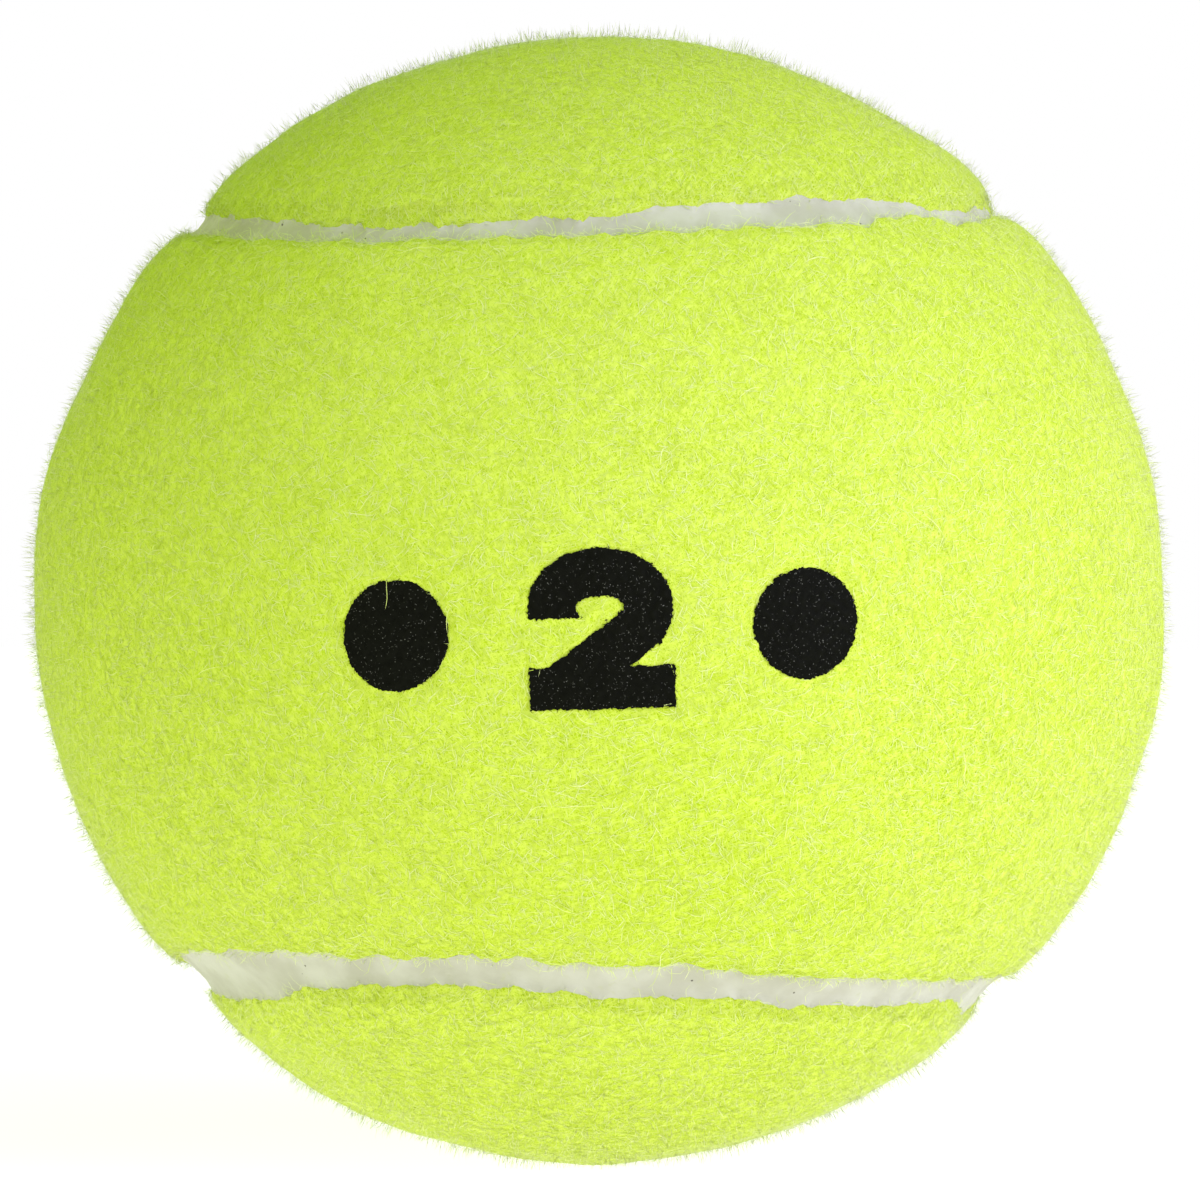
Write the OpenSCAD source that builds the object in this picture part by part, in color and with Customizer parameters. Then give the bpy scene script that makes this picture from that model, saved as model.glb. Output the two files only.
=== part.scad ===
// A tennis ball: a hollow rubber core of two cemented halves, a cement coat round it,
// and two waisted felt panels that meet along one closed cement seam.
// The middle of the front panel's waist faces -Y, and that panel's ends wrap round +X and -X.
// The back panel is the same panel turned half round, so its ends wrap over the top and the bottom.

/* [Ball] */
// Diameter of the ball over its nap
ball_d = 66.8; // [64:0.2:70]
// Thickness of a felt panel, its cloth and nap together
felt_t = 3.2; // [2.6:0.1:4.5]
// Radius to which the felt rolls over at its cut edges
edge_r = 1.3; // [0.6:0.1:2]

/* [Seam] */
// Angle on the ball from the middle of one panel's waist to the centre of the other panel's end
end_angle = 84; // [80:0.5:89]
// Width of the cement line between the panels, at the nap
seam_w = 2.2; // [1.2:0.1:3]
// Depth of the cement line's edges below the nap
seam_depth = 1.1; // [0.6:0.1:2]
// How far the cement line's middle sinks below its edges
seam_sink = 0.15; // [0:0.05:0.4]

/* [Core] */
// Wall of each rubber half
core_wall = 3.3; // [2.5:0.1:5]
// Leg of the chamfer round the inside of each half's rim
rim_chamfer = 0.8; // [0.4:0.1:1.5]
// Thickness of the cement film between the two rims
joint_film = 0.2; // [0.1:0.05:0.5]
// How far the squeezed-out cement stands into the hollow
bead_h = 0.4; // [0.2:0.1:0.8]
// Thickness of the cement coat round the core
coat_t = 0.15; // [0.1:0.05:0.4]

/* [Fits] */
// Clearance between one layer and the next
layer_fit = 0.02; // [0.01:0.01:0.05]

/* [Hidden] */
$fn = 120;

// Radii, from the nap inwards
ball_r = ball_d / 2;
felt_in_r = ball_r - felt_t;
coat_r = felt_in_r - layer_fit;
coat_in_r = coat_r - coat_t;
core_r = coat_in_r - layer_fit;
hollow_r = core_r - core_wall;
seam_r = ball_r - seam_depth;

// The seam is four arcs of equal circles drawn on the ball, each tangent to the next.
// A circle's radius and half its arc are angles, seen from the ball's centre and from the circle's.
end_radius = acos(sin(end_angle) / sqrt(2));
arc_half = acos(-cos(end_angle) / (sqrt(2) * sin(end_radius)));

// Counts of flat steps: along each arc, over the rolled edge, and from the edge to a panel's middle
arc_steps = 36;
roll_steps = 4;
outer_steps = 7;
inner_steps = 6;
loop_steps = 4 * arc_steps;

// Angles from the seam's middle to a panel's cut edge, to its rolled edge's centre and to the cement's edge
cement_turn = asin(seam_w / 2 / ball_r);
cut_turn = asin((seam_w / 2 + layer_fit) / ball_r);
roll_turn = asin(edge_r / (ball_r - edge_r));

// Corners that lie on the felt's inner sphere stand this far out, so that the flats between clear the coat
widest_step = norm([2 * arc_half / arc_steps, end_angle / 2 / inner_steps]);
lining_r = felt_in_r / cos(widest_step / 2);

// Half a turn about the line from front to back
function turned(p) = [-p[0], p[1], -p[2]];

// A spoke of the seam at a step round its loop: the centre of the arc's circle, the direction
// from there to the seam, 1 where the front panel lies beyond the seam or -1 where it lies
// before it, and the angle along the spoke at which that panel's middle line is met.
function spoke(step) =
    let(
        arc = floor(step / arc_steps),
        turn = arc_half * (2 * (step - arc * arc_steps) / arc_steps - 1),
        s = sin(end_angle),
        c = cos(end_angle),
        waist = arc % 2 == 0,
        centre = waist ? [0, -c, s] : [s, c, 0],
        way = waist ? [sin(turn), -s * cos(turn), -c * cos(turn)]
                    : [-c * cos(turn), s * cos(turn), -sin(turn)]
    )
    [
        arc < 2 ? centre : turned(centre),
        arc < 2 ? way : turned(way),
        waist ? 1 : -1,
        waist ? atan2(s, c * cos(turn)) : 0
    ];

spokes = [for (step = [0 : loop_steps - 1]) spoke(step)];

// The point on a spoke that lies this angle past the seam's middle towards the front panel,
// then this share of the way on to the panel's middle line, at this radius
function on_spoke(k, past, share, r) =
    let(
        from = end_radius + k[2] * past,
        angle = from + (k[3] - from) * share
    )
    r * (k[0] * cos(angle) + k[1] * sin(angle));

// A point of the rolled edge as [angle past the seam's middle, share, radius], from its foot to its top
function roll_row(share) =
    let(
        a = (180 - roll_turn) * (1 - share) + 90 * share,
        p = [edge_r * cos(a), ball_r - edge_r + edge_r * sin(a)]
    )
    [cut_turn + roll_turn + atan2(p[0], p[1]), 0, norm(p)];

// A panel's section from its inner middle out to the cut edge, up over the roll and back to its outer middle
panel_rows = concat(
    [for (i = [0 : inner_steps]) [cut_turn, 1 - i / inner_steps, lining_r]],
    [for (i = [0 : roll_steps]) roll_row(i / roll_steps)],
    [for (i = [1 : outer_steps]) [cut_turn + roll_turn, i / outer_steps, ball_r]]
);
last_row = len(panel_rows) - 1;
middle_count = arc_steps + 1;

// Which point of a panel's middle line the spoke at this step runs to
function middle_at(step) =
    let(arc = floor(step / arc_steps), i = step - arc * arc_steps)
    [i, arc_steps, arc_steps - i, 0][arc];

// Where the point of this row and step stands in the panel's list of points
function panel_index(row, step) =
    let(s = step % loop_steps)
    row == 0 ? middle_at(s)
    : middle_count + (row - 1) * loop_steps + (row == last_row ? middle_at(s) : s);

// Two triangles between four corners, or one where two of them are the same
function patch(a, b, c, d) = [if (a != b) [a, b, c], if (c != d) [a, c, d]];

// A felt panel with a waist, two round ends and rolled edges, as one closed surface
module panel() {
    function row_points(row, count) = [
        for (step = [0 : count - 1])
            on_spoke(spokes[step], panel_rows[row][0], panel_rows[row][1], panel_rows[row][2])
    ];
    points = [
        for (row = [0 : last_row])
            each row_points(row, row == 0 || row == last_row ? middle_count : loop_steps)
    ];
    faces = [
        for (row = [0 : last_row - 1], step = [0 : loop_steps - 1])
            each patch(
                panel_index(row, step),
                panel_index(row, step + 1),
                panel_index(row + 1, step + 1),
                panel_index(row + 1, step)
            )
    ];
    polyhedron(points, faces, convexity = 6);
}

// Puts the front panel in the back one's place, by half a turn about a diagonal
module swapped() {
    rotate(a = 180, v = [1, 0, 1]) children();
}

// A rubber half, its rim at the height of half the cement film
module core_half() {
    rotate_extrude()
        difference() {
            intersection() {
                circle(r = core_r);
                translate([0, joint_film / 2]) square(core_r);
            }
            circle(r = hollow_r);
            polygon([
                [hollow_r + rim_chamfer, joint_film / 2],
                [hollow_r - rim_chamfer, joint_film / 2],
                [hollow_r - rim_chamfer, joint_film / 2 + 2 * rim_chamfer]
            ]);
        }
}

module core_half_upper() {
    color([0.23, 0.22, 0.2]) core_half();
}

module core_half_lower() {
    color([0.3, 0.28, 0.25]) mirror([0, 0, 1]) core_half();
}

// The film between the rims, with the bead that fills their chamfers and rounds into the hollow
module core_joint_cement() {
    bead_w = joint_film / 2 + rim_chamfer - 2 * layer_fit;
    bead_r = (pow(bead_w, 2) + pow(bead_h, 2)) / (2 * bead_h);
    color([0.62, 0.5, 0.33])
        rotate_extrude() {
            translate([hollow_r + rim_chamfer, -joint_film / 2]) square([core_wall - rim_chamfer, joint_film]);
            polygon([
                [hollow_r, -bead_w],
                [hollow_r + rim_chamfer, -joint_film / 2],
                [hollow_r + rim_chamfer, joint_film / 2],
                [hollow_r, bead_w]
            ]);
            intersection() {
                translate([hollow_r - bead_h + bead_r, 0]) circle(r = bead_r);
                translate([hollow_r - bead_h, -bead_w]) square([bead_h, 2 * bead_w]);
            }
        }
}

module core_cement_coat() {
    color([0.76, 0.68, 0.5])
        difference() {
            sphere(r = coat_r);
            sphere(r = coat_in_r);
        }
}

module felt_panel_front() {
    color([0.8, 0.93, 0.25]) panel();
}

module felt_panel_back() {
    color([0.76, 0.89, 0.22]) swapped() panel();
}

// The cement line that fills the gap between the panels, its top hollowed a little
module seam_cement() {
    top_steps = 4;
    section = concat(
        [[cement_turn, lining_r], [-cement_turn, lining_r]],
        [for (i = [0 : top_steps])
            let(across = 2 * i / top_steps - 1)
            [cement_turn * across, seam_r - seam_sink * (1 - pow(across, 2))]]
    );
    corners = len(section);
    points = [for (k = spokes, p = section) on_spoke(k, p[0], 0, p[1])];
    faces = [
        for (step = [0 : loop_steps - 1], i = [0 : corners - 1])
            let(here = step * corners, next = (step + 1) % loop_steps * corners, j = (i + 1) % corners)
            each patch(here + i, next + i, next + j, here + j)
    ];
    color([0.82, 0.82, 0.76]) polyhedron(points, faces, convexity = 6);
}

core_half_upper();
core_half_lower();
core_joint_cement();
core_cement_coat();
felt_panel_front();
felt_panel_back();
seam_cement();
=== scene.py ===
import math

import bpy
import numpy as np
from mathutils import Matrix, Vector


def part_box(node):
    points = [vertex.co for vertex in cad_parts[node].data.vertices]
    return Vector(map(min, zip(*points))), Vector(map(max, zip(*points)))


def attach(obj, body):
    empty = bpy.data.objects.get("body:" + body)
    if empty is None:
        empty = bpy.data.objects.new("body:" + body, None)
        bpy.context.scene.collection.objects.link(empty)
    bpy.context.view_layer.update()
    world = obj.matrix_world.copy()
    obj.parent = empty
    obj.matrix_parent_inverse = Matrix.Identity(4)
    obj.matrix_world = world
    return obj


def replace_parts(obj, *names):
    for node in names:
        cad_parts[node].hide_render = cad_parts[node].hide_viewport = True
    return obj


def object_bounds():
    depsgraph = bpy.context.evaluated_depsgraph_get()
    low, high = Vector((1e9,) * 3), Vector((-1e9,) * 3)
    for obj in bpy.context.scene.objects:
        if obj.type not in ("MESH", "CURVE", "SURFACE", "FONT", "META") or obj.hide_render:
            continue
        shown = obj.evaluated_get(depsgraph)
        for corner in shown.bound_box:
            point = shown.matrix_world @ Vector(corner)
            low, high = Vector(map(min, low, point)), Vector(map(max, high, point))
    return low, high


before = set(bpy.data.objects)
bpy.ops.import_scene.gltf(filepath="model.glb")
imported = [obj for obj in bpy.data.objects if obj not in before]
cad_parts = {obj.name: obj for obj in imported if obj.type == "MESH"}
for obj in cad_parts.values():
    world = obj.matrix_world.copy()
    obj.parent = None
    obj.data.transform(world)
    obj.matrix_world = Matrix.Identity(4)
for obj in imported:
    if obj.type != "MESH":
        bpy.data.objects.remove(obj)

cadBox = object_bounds()
mm = 0.001
pi = math.pi

ball = {
    "radius": max(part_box("felt_panel_front")[1]) / mm,  # over the nap
    "feltThickness": 3.2,
    "fit": 0.02,  # between the felt and the core's coat
    "edgeRoll": 0.65,  # radius to which the felt rolls over at its cut edges
    "endAngle": math.radians(84),  # from the middle of a panel's waist to the centre of the other's end
    "seamDepth": 0.82,  # of the cement below the nap, and how far it sinks in the middle
    "seamSink": 0.1,
}
radius = ball["radius"]
liningRadius = radius - ball["feltThickness"] + ball["fit"]
rollRadius = ball["edgeRoll"]
seamRadius = radius - ball["seamDepth"]


camera = {
    "turn": math.radians(17),  # how far round to the right of the front panel's waist it stands
    "distance": 9,  # in ball radii
    "outline": 0.938,  # the ball's share of the picture's width
}


def addCamera():
    data = bpy.data.cameras.new("camera")
    # the outline's half angle is asin(1 / distance), and the lens makes it that share of the width
    halfAngle = math.asin(1 / camera["distance"])
    data.lens = data.sensor_width * camera["outline"] / 2 / math.tan(halfAngle)
    data.clip_start, data.clip_end = 0.01, 20
    holder = bpy.data.objects.new("camera", data)
    turn, away = camera["turn"], camera["distance"] * radius * mm
    holder.location = (away * math.sin(turn), -away * math.cos(turn), 0)
    holder.rotation_euler = (pi / 2, 0, turn)
    bpy.context.scene.collection.objects.link(holder)
    bpy.context.scene.camera = holder


addCamera()
print("camera placed")


# The seam's line: four arcs of equal circles on the ball, each tangent to the next. A place on the
# loop runs from 0 to 4, one for each arc: the upper waist, the right end, the lower waist and the
# left end.
endRadius = math.acos(math.sin(ball["endAngle"]) / math.sqrt(2))
arcHalf = math.acos(-math.cos(ball["endAngle"]) / (math.sqrt(2) * math.sin(endRadius)))
seamLength = 8 * arcHalf * math.sin(endRadius) * radius

seam = {
    # How far the real line strays towards the front panel, and half its width, in mm, at equal
    # steps along the upper and the lower arc in front
    "upperDrift": [0.2, 0.05, -0.1, -0.2, -0.25, -0.25, -0.08, 0.07, 0.33, 0.38, 0.27,
                   0.14, 0.2, -0.28, -0.25, -0.34, -0.15, -0.25, 0.85, 0.85, 0.7],
    "upperHalf": [0.9, 0.95, 0.85, 0.8, 0.8, 0.7, 0.7, 0.62, 0.5, 0.48, 0.5,
                  0.6, 0.55, 0.95, 0.86, 1.02, 0.9, 0.46, 0.42, 0.4, 0.4],
    "lowerDrift": [0.05, 0.4, 0.07, -0.33, -0.42, -0.7, -0.38, -0.22, -0.52, -0.08, 0.06,
                   -0.07, -0.08, -0.02, -0.5, -0.4, -0.3, -0.2, -0.1, 0.0, 0.1],
    "lowerHalf": [1.7, 0.95, 0.8, 1.02, 1.0, 1.12, 0.92, 1.22, 1.12, 1.03, 1.03,
                  0.92, 1.15, 1.4, 1.85, 1.9, 1.85, 1.4, 1.1, 1.0, 1.0],
    "halfWidth": 0.95,  # elsewhere
    # how much the line wanders and swells there, with its shortest and longest waves and its seed
    "wander": (0.3, 7, 30, 1),
    "swell": (0.2, 6, 20, 2),
    "scallops": 0.1,
}


def turnRound(points):
    # half a turn about the line from front to back
    return points * np.array([-1.0, 1.0, -1.0])


def swapPanels(points):
    # half a turn about the diagonal between X and Z, which puts each panel in the other's place
    return np.stack([points[..., 2], -points[..., 1], points[..., 0]], -1)


def spokes(place):
    # For each place on the loop: the centre of its circle, the direction from there to the seam,
    # 1 where the front panel lies beyond the seam and -1 where it lies before it, and the angle
    # along the spoke at which that panel's middle line is met.
    arc = np.floor(place).astype(int) % 4
    turn = arcHalf * (2 * (place - np.floor(place)) - 1)
    s, c = math.sin(ball["endAngle"]), math.cos(ball["endAngle"])
    waist = (arc % 2 == 0)[:, None]
    centre = np.where(waist, [0, -c, s], [s, c, 0])
    way = np.where(
        waist,
        np.stack([np.sin(turn), -s * np.cos(turn), -c * np.cos(turn)], 1),
        np.stack([-c * np.cos(turn), s * np.cos(turn), -np.sin(turn)], 1),
    )
    later = (arc >= 2)[:, None]
    centre = np.where(later, turnRound(centre), centre)
    way = np.where(later, turnRound(way), way)
    middle = np.where(waist[:, 0], np.arctan2(s, c * np.cos(turn)), 0.0)
    return centre, way, np.where(waist[:, 0], 1.0, -1.0), middle


def alongSpokes(spoke, past, share=0.0):
    # The direction that lies `past` radians beyond the seam towards the front panel, and then
    # this share of the way on to the panel's middle line
    centre, way, side, middle = spoke
    start = endRadius + side * past
    angle = start + (middle - start) * share
    return centre * np.cos(angle)[..., None] + way * np.sin(angle)[..., None]


seamPlaces = (np.arange(2400) + 0.5) / 600  # all round the loop, on each arc 600
seamSpokes = spokes(seamPlaces)
seamWays = alongSpokes(seamSpokes, 0.0)


def fromSeam(ways):
    # The place on the loop nearest to each direction, and the distance from the seam's line in mm,
    # positive on the front panel: the angle to that circle's centre less the circle's radius.
    nearest = np.empty(len(ways), int)
    samples = seamWays.T.astype(np.float32)
    for first in range(0, len(ways), 4000):
        part = slice(first, first + 4000)
        nearest[part] = np.argmax(ways[part].astype(np.float32) @ samples, axis=1)
    toCentre = np.clip((ways * seamSpokes[0][nearest]).sum(1), -1, 1)
    return seamPlaces[nearest], (np.arccos(toCentre) - endRadius) * seamSpokes[2][nearest] * radius


def ripple(points, wavelength, seed, waves=40):
    # A smooth random field: the sum of many plane waves of about this length in random directions
    rng = np.random.default_rng(seed)
    way = rng.normal(size=(waves, 3))
    way /= np.linalg.norm(way, axis=1)[:, None]
    length = wavelength * np.exp(rng.uniform(-0.35, 0.35, waves))
    slope = (way * (2 * pi / length)[:, None]).T.astype(np.float32)
    turns = points.astype(np.float32) @ slope + rng.uniform(0, 2 * pi, waves).astype(np.float32)
    return np.cos(turns).sum(1).astype(float) * math.sqrt(2 / waves)


def loopRipple(place, shortest, longest, seed, waves=40):
    # The same along the closed seam, with whole numbers of waves so that it meets itself
    rng = np.random.default_rng(seed)
    count = np.exp(rng.uniform(math.log(seamLength / longest), math.log(seamLength / shortest), waves))
    turns = place[:, None] * (np.round(count) * pi / 2) + rng.uniform(0, 2 * pi, waves)
    return np.cos(turns).sum(1) * math.sqrt(2 / waves)


def smoothStep(low, high, value):
    share = np.clip((value - low) / (high - low), 0, 1)
    return share * share * (3 - 2 * share)


def seamEdges(place):
    # Where the front and the back panel's cut edges lie, in mm from the seam's plain line towards
    # the front: the measured drift and width on the two arcs in front and a little beyond their
    # ends, and random ones elsewhere.
    wander, *wanderWaves = seam["wander"]
    swell, *swellWaves = seam["swell"]
    drift = wander * loopRipple(place, *wanderWaves)
    half = seam["halfWidth"] + swell * loopRipple(place, *swellWaves)
    steps = np.linspace(0, 1, len(seam["upperDrift"]))
    for first, name in ((0, "upper"), (2, "lower")):
        along = (place - first + 2) % 4 - 2
        shown = smoothStep(-0.2, 0, along) * smoothStep(-0.2, 0, 1 - along)
        drift += shown * (np.interp(along, steps, seam[name + "Drift"]) - drift)
        half += shown * (np.interp(along, steps, seam[name + "Half"]) - half)
    edges = []
    for sign, seed in ((1, 3), (-1, 5)):
        ragged = loopRipple(place, 2.2, 6, seed) + 0.6 * loopRipple(place, 0.7, 2, seed + 1)
        edges.append(drift + sign * half + seam["scallops"] * ragged)
    return edges


nap = {
    "unevenness": [(13, 0.1, 11), (5, 0.03, 12), (2.2, 0.01, 13)],  # wavelength, depth, seed
    "pressed": 0.2,  # how far the print presses the nap down
    "shoulder": 0.4,  # over how far it comes up again round the print
    "sag": 0.42,  # how far the felt sinks towards its cut edges, and from how far away
    "sagWidth": 3.4,
}
farOff = 99.0  # so far from a cut edge or from the print that it changes nothing


def edgeDrop(margin):
    # how far the felt lies below the ball's radius this far from its cut edge
    inRoll = np.clip(rollRadius - margin, 0, rollRadius)
    sag = nap["sag"] * (1 - np.clip(margin / nap["sagWidth"], 0, 1)) ** 2
    return rollRadius - np.sqrt(rollRadius**2 - inRoll**2) + sag


def napRadius(ways, margin, fromMark):
    # The felt's surface: the ball's radius and its unevenness, less its drop towards the cut edge,
    # and pressed down at the print. margin is the distance from the cut edge.
    uneven = sum(
        depth * ripple(ways * radius, wavelength, seed) for wavelength, depth, seed in nap["unevenness"]
    )
    printed = 1 - smoothStep(0, nap["shoulder"], fromMark)
    risen = uneven * smoothStep(0, 2 * rollRadius, margin)
    return radius - edgeDrop(margin) + risen - nap["pressed"] * printed


marks = {
    "turn": math.radians(17.1),  # the print's middle, round the ball and up
    "up": math.radians(-2.9),
    "tilt": math.radians(1.7),
    "spacing": 11.3,
    "dot": 3.0,  # radius of the two dots
    "stroke": 1.3,  # half the figure's stroke
    "bow": (2.62, 1.95, 1.25),  # the ellipse's half width and height, and how high its middle lies
    "stem": ((1.95, 0.02), (-2.6, -3.3)),
    "foot": (3.95, -3.05, 1.15),  # half its width, how high its middle lies and half its height
    "ragged": 0.03,
}
markTurn, markUp = marks["turn"], marks["up"]
markWay = np.array([
    math.sin(markTurn) * math.cos(markUp), -math.cos(markTurn) * math.cos(markUp), math.sin(markUp)
])
levelWay = np.array([math.cos(markTurn), math.sin(markTurn), 0.0])
uprightWay = np.cross(levelWay, -markWay)
uprightWay /= np.linalg.norm(uprightWay)
alongMark = levelWay * math.cos(marks["tilt"]) + uprightWay * math.sin(marks["tilt"])
upMark = uprightWay * math.cos(marks["tilt"]) - levelWay * math.sin(marks["tilt"])


def toMark(ways):
    # A direction's place in the print, in mm across and up, as longitude and latitude
    depth = ways @ markWay
    across = np.arctan2(ways @ alongMark, depth) * radius
    return np.stack([across, np.arcsin(np.clip(ways @ upMark, -1, 1)) * radius], -1)


def fromMarkPlane(flat):
    across, up = flat[..., 0] / radius, flat[..., 1] / radius
    level = markWay * np.cos(across)[..., None] + alongMark * np.sin(across)[..., None]
    return level * np.cos(up)[..., None] + upMark * np.sin(up)[..., None]


def bar(flat, start, end, half):
    # distance to a straight stroke with round ends
    start, end = np.array(start), np.array(end)
    share = np.clip((flat - start) @ (end - start) / ((end - start) @ (end - start)), 0, 1)
    return np.linalg.norm(flat - start - share[..., None] * (end - start), axis=-1) - half


def markDistance(flat):
    # Distance from the marks' outlines, negative inside: a figure between two dots. The figure is
    # a bow, which is part of a wide ellipse, a slanting stem and a foot; the nearest of them counts.
    half = marks["stroke"]
    wide, high, lift = marks["bow"]
    x, y = flat[..., 0], flat[..., 1] - lift
    reach = np.hypot(x / wide, y / high)
    bow = np.abs(reach * (reach - 1) / np.maximum(np.hypot(x / wide**2, y / high**2), 1e-6)) - half
    ended = np.where(x < 0, -0.5 - y, -1.5 * (y / high + 0.84 * x / wide) - 0.5 * np.exp(-x))
    bow = np.maximum(bow, ended)
    footHalf, footUp, footThick = marks["foot"]
    stem = bar(flat, *marks["stem"], half)
    stem = np.maximum(stem, np.maximum(footUp - footThick - flat[..., 1], -footHalf - x))
    foot = np.maximum(np.abs(x) - footHalf, np.abs(flat[..., 1] - footUp) - footThick)
    found = np.minimum(np.minimum(bow, stem), foot)
    for side in (-1, 1):
        dot = np.linalg.norm(flat - [side * marks["spacing"], 0.0], axis=-1) - marks["dot"]
        found = np.minimum(found, dot)
    spread = np.concatenate([flat.reshape(-1, 2), np.zeros((flat.size // 2, 1))], 1)
    torn = ripple(spread, 0.22, 21) + 0.7 * ripple(spread, 1.1, 22)
    return found + marks["ragged"] * torn.reshape(found.shape)


def nearMarks(ways):
    # distance from the print for directions anywhere on the ball
    facing = ways @ markWay > 0.5
    found = np.full(len(ways), farOff)
    found[facing] = markDistance(toMark(ways[facing]))
    return found


def newMaterial(name, **constants):
    material = bpy.data.materials.new(name)
    material.use_nodes = True
    tree = material.node_tree
    shader = tree.nodes["Principled BSDF"]
    for socket, value in constants.items():
        shader.inputs[socket.replace("_", " ")].default_value = value
    return material, tree, shader


def add(tree, kind, inputs=(), **settings):
    # adds a node, sets what is a number and links what is another node's output
    node = tree.nodes.new("ShaderNode" + kind)
    for name, value in settings.items():
        setattr(node, name, value)
    for name, value in dict(inputs).items():
        if isinstance(value, bpy.types.NodeSocket):
            tree.links.new(value, node.inputs[name])
        else:
            node.inputs[name].default_value = value
    return node


def linear(colour):
    # sRGB numbers from 0 to 255 as the linear ones that a shader takes
    values = [x / 255 for x in colour]
    return [x / 12.92 if x <= 0.04045 else ((x + 0.055) / 1.055) ** 2.4 for x in values] + [1.0]


def inMillimetres(tree):
    place = add(tree, "TexCoord").outputs["Object"]
    return add(tree, "Mapping", {"Vector": place, "Scale": (1 / mm, 1 / mm, 1 / mm)}).outputs[0]


def noise(tree, place, scale, detail=0.0, distortion=0.0):
    grain = {"Vector": place, "Scale": scale, "Detail": detail, "Distortion": distortion}
    return add(tree, "TexNoise", grain).outputs["Fac"]


def ranged(tree, value, low, high, toLow=0.0, toHigh=1.0):
    ends = {"Value": value, "From Min": low, "From Max": high, "To Min": toLow, "To Max": toHigh}
    return add(tree, "MapRange", ends, interpolation_type="SMOOTHSTEP").outputs["Result"]


def maths(tree, operation, first, second=0.0):
    return add(tree, "Math", {0: first, 1: second}, operation=operation).outputs[0]


def mixed(tree, share, first, second):
    # the mix node's colours are its inputs 6 and 7 and its output 2
    return add(tree, "Mix", {0: share, 6: first, 7: second}, data_type="RGBA").outputs[2]


def bumped(tree, shader, height, depth, strength=1.0):
    node = add(tree, "Bump", {"Height": height, "Distance": depth * mm, "Strength": strength})
    tree.links.new(node.outputs[0], shader.inputs["Normal"])


felt = {
    # the deep colour is the felt's own green darkened as painted shade in the gaps between fibres
    "deepToneAndGapShade": (168, 198, 8),
    "body": (188, 216, 24),
    "pale": (218, 236, 96),
    "layers": 12,  # of straight fibres, each layer in its own direction
    "fibreLength": 1.4,  # in mm
    "fibreSpacing": 0.15,
    "fibreWidth": 0.2,  # as a share of the spacing
}


def feltMaterial():
    # A mat of short straight fibres. Each layer is a noise drawn out along its own direction, and
    # its fibres run where that noise crosses its middle value, on the parts of the ball where the
    # direction lies along the surface. The directions are spread over the half sphere by golden
    # turns, and each layer lies over the one before. Painted shade: the gaps keep the deep colour,
    # and each lower layer is darker, as if shaded by the fibres above it.
    material, tree, shader = newMaterial(
        "felt cloth", Roughness=0.9, Specular_IOR_Level=0.06, Sheen_Weight=0.15, Sheen_Roughness=0.3,
        Sheen_Tint=linear((240, 250, 180)),
    )
    place = add(tree, "TexCoord").outputs["Object"]
    outwards = add(tree, "VectorMath", {0: place}, operation="NORMALIZE").outputs["Vector"]
    colour, height = linear(felt["deepToneAndGapShade"]), 0.0
    layers, long, wide = felt["layers"], felt["fibreLength"] * mm, felt["fibreSpacing"] * mm
    for layer in range(layers):
        share = layer / (layers - 1)
        level, turn = (layer * 5 % layers + 0.5) / layers, layer * pi * (3 - math.sqrt(5))
        flat = math.sqrt(1 - level**2)
        way = (flat * math.cos(turn), flat * math.sin(turn), level)
        laid = {"Vector": place, "Rotation": (0, -math.asin(level), turn), "Scale": (long, wide, wide)}
        drawn = add(tree, "Mapping", laid, vector_type="TEXTURE").outputs[0]
        upright = add(tree, "VectorMath", {0: outwards, 1: way}, operation="DOT_PRODUCT")
        upright = maths(tree, "ABSOLUTE", upright.outputs["Value"])
        lying = ranged(tree, upright, 0.5, 0.75, 1.0, 0.0)
        across = maths(tree, "ABSOLUTE", maths(tree, "SUBTRACT", noise(tree, drawn, 1.0), 0.5))
        line = ranged(tree, across, 0.12 * felt["fibreWidth"], 0.36 * felt["fibreWidth"], 1.0, 0.0)
        fibre = maths(tree, "MULTIPLY", line, lying)
        # painted shade: the lower layers get darker tones and the topmost the palest
        tone = [a + (b - a) * share for a, b in zip(linear(felt["body"]), linear(felt["pale"]))]
        colour = mixed(tree, fibre, colour, tone)
        height = maths(tree, "MAXIMUM", height, maths(tree, "MULTIPLY", fibre, 0.5 + 0.5 * share))
    tree.links.new(colour, shader.inputs["Base Color"])
    bumped(tree, shader, height, 0.02, 0.3)
    return material


def strandMaterial(name, dark, light, **constants):
    # The strand's own map holds its shade across and the way from root to tip upwards
    material, tree, shader = newMaterial(name, **constants)
    spot = add(tree, "SeparateXYZ", {"Vector": add(tree, "UVMap", uv_map="OFBake").outputs[0]})
    colour = mixed(tree, spot.outputs["X"], linear(dark), linear(light))
    # painted shade: each strand darkens towards its root, where it goes down into the nap
    colourWithPaintedRootShade = mixed(tree, ranged(tree, spot.outputs["Y"], 0.0, 0.4, 0.6, 0.0), colour, linear(dark))
    tree.links.new(colourWithPaintedRootShade, shader.inputs["Base Color"])
    return material


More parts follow.
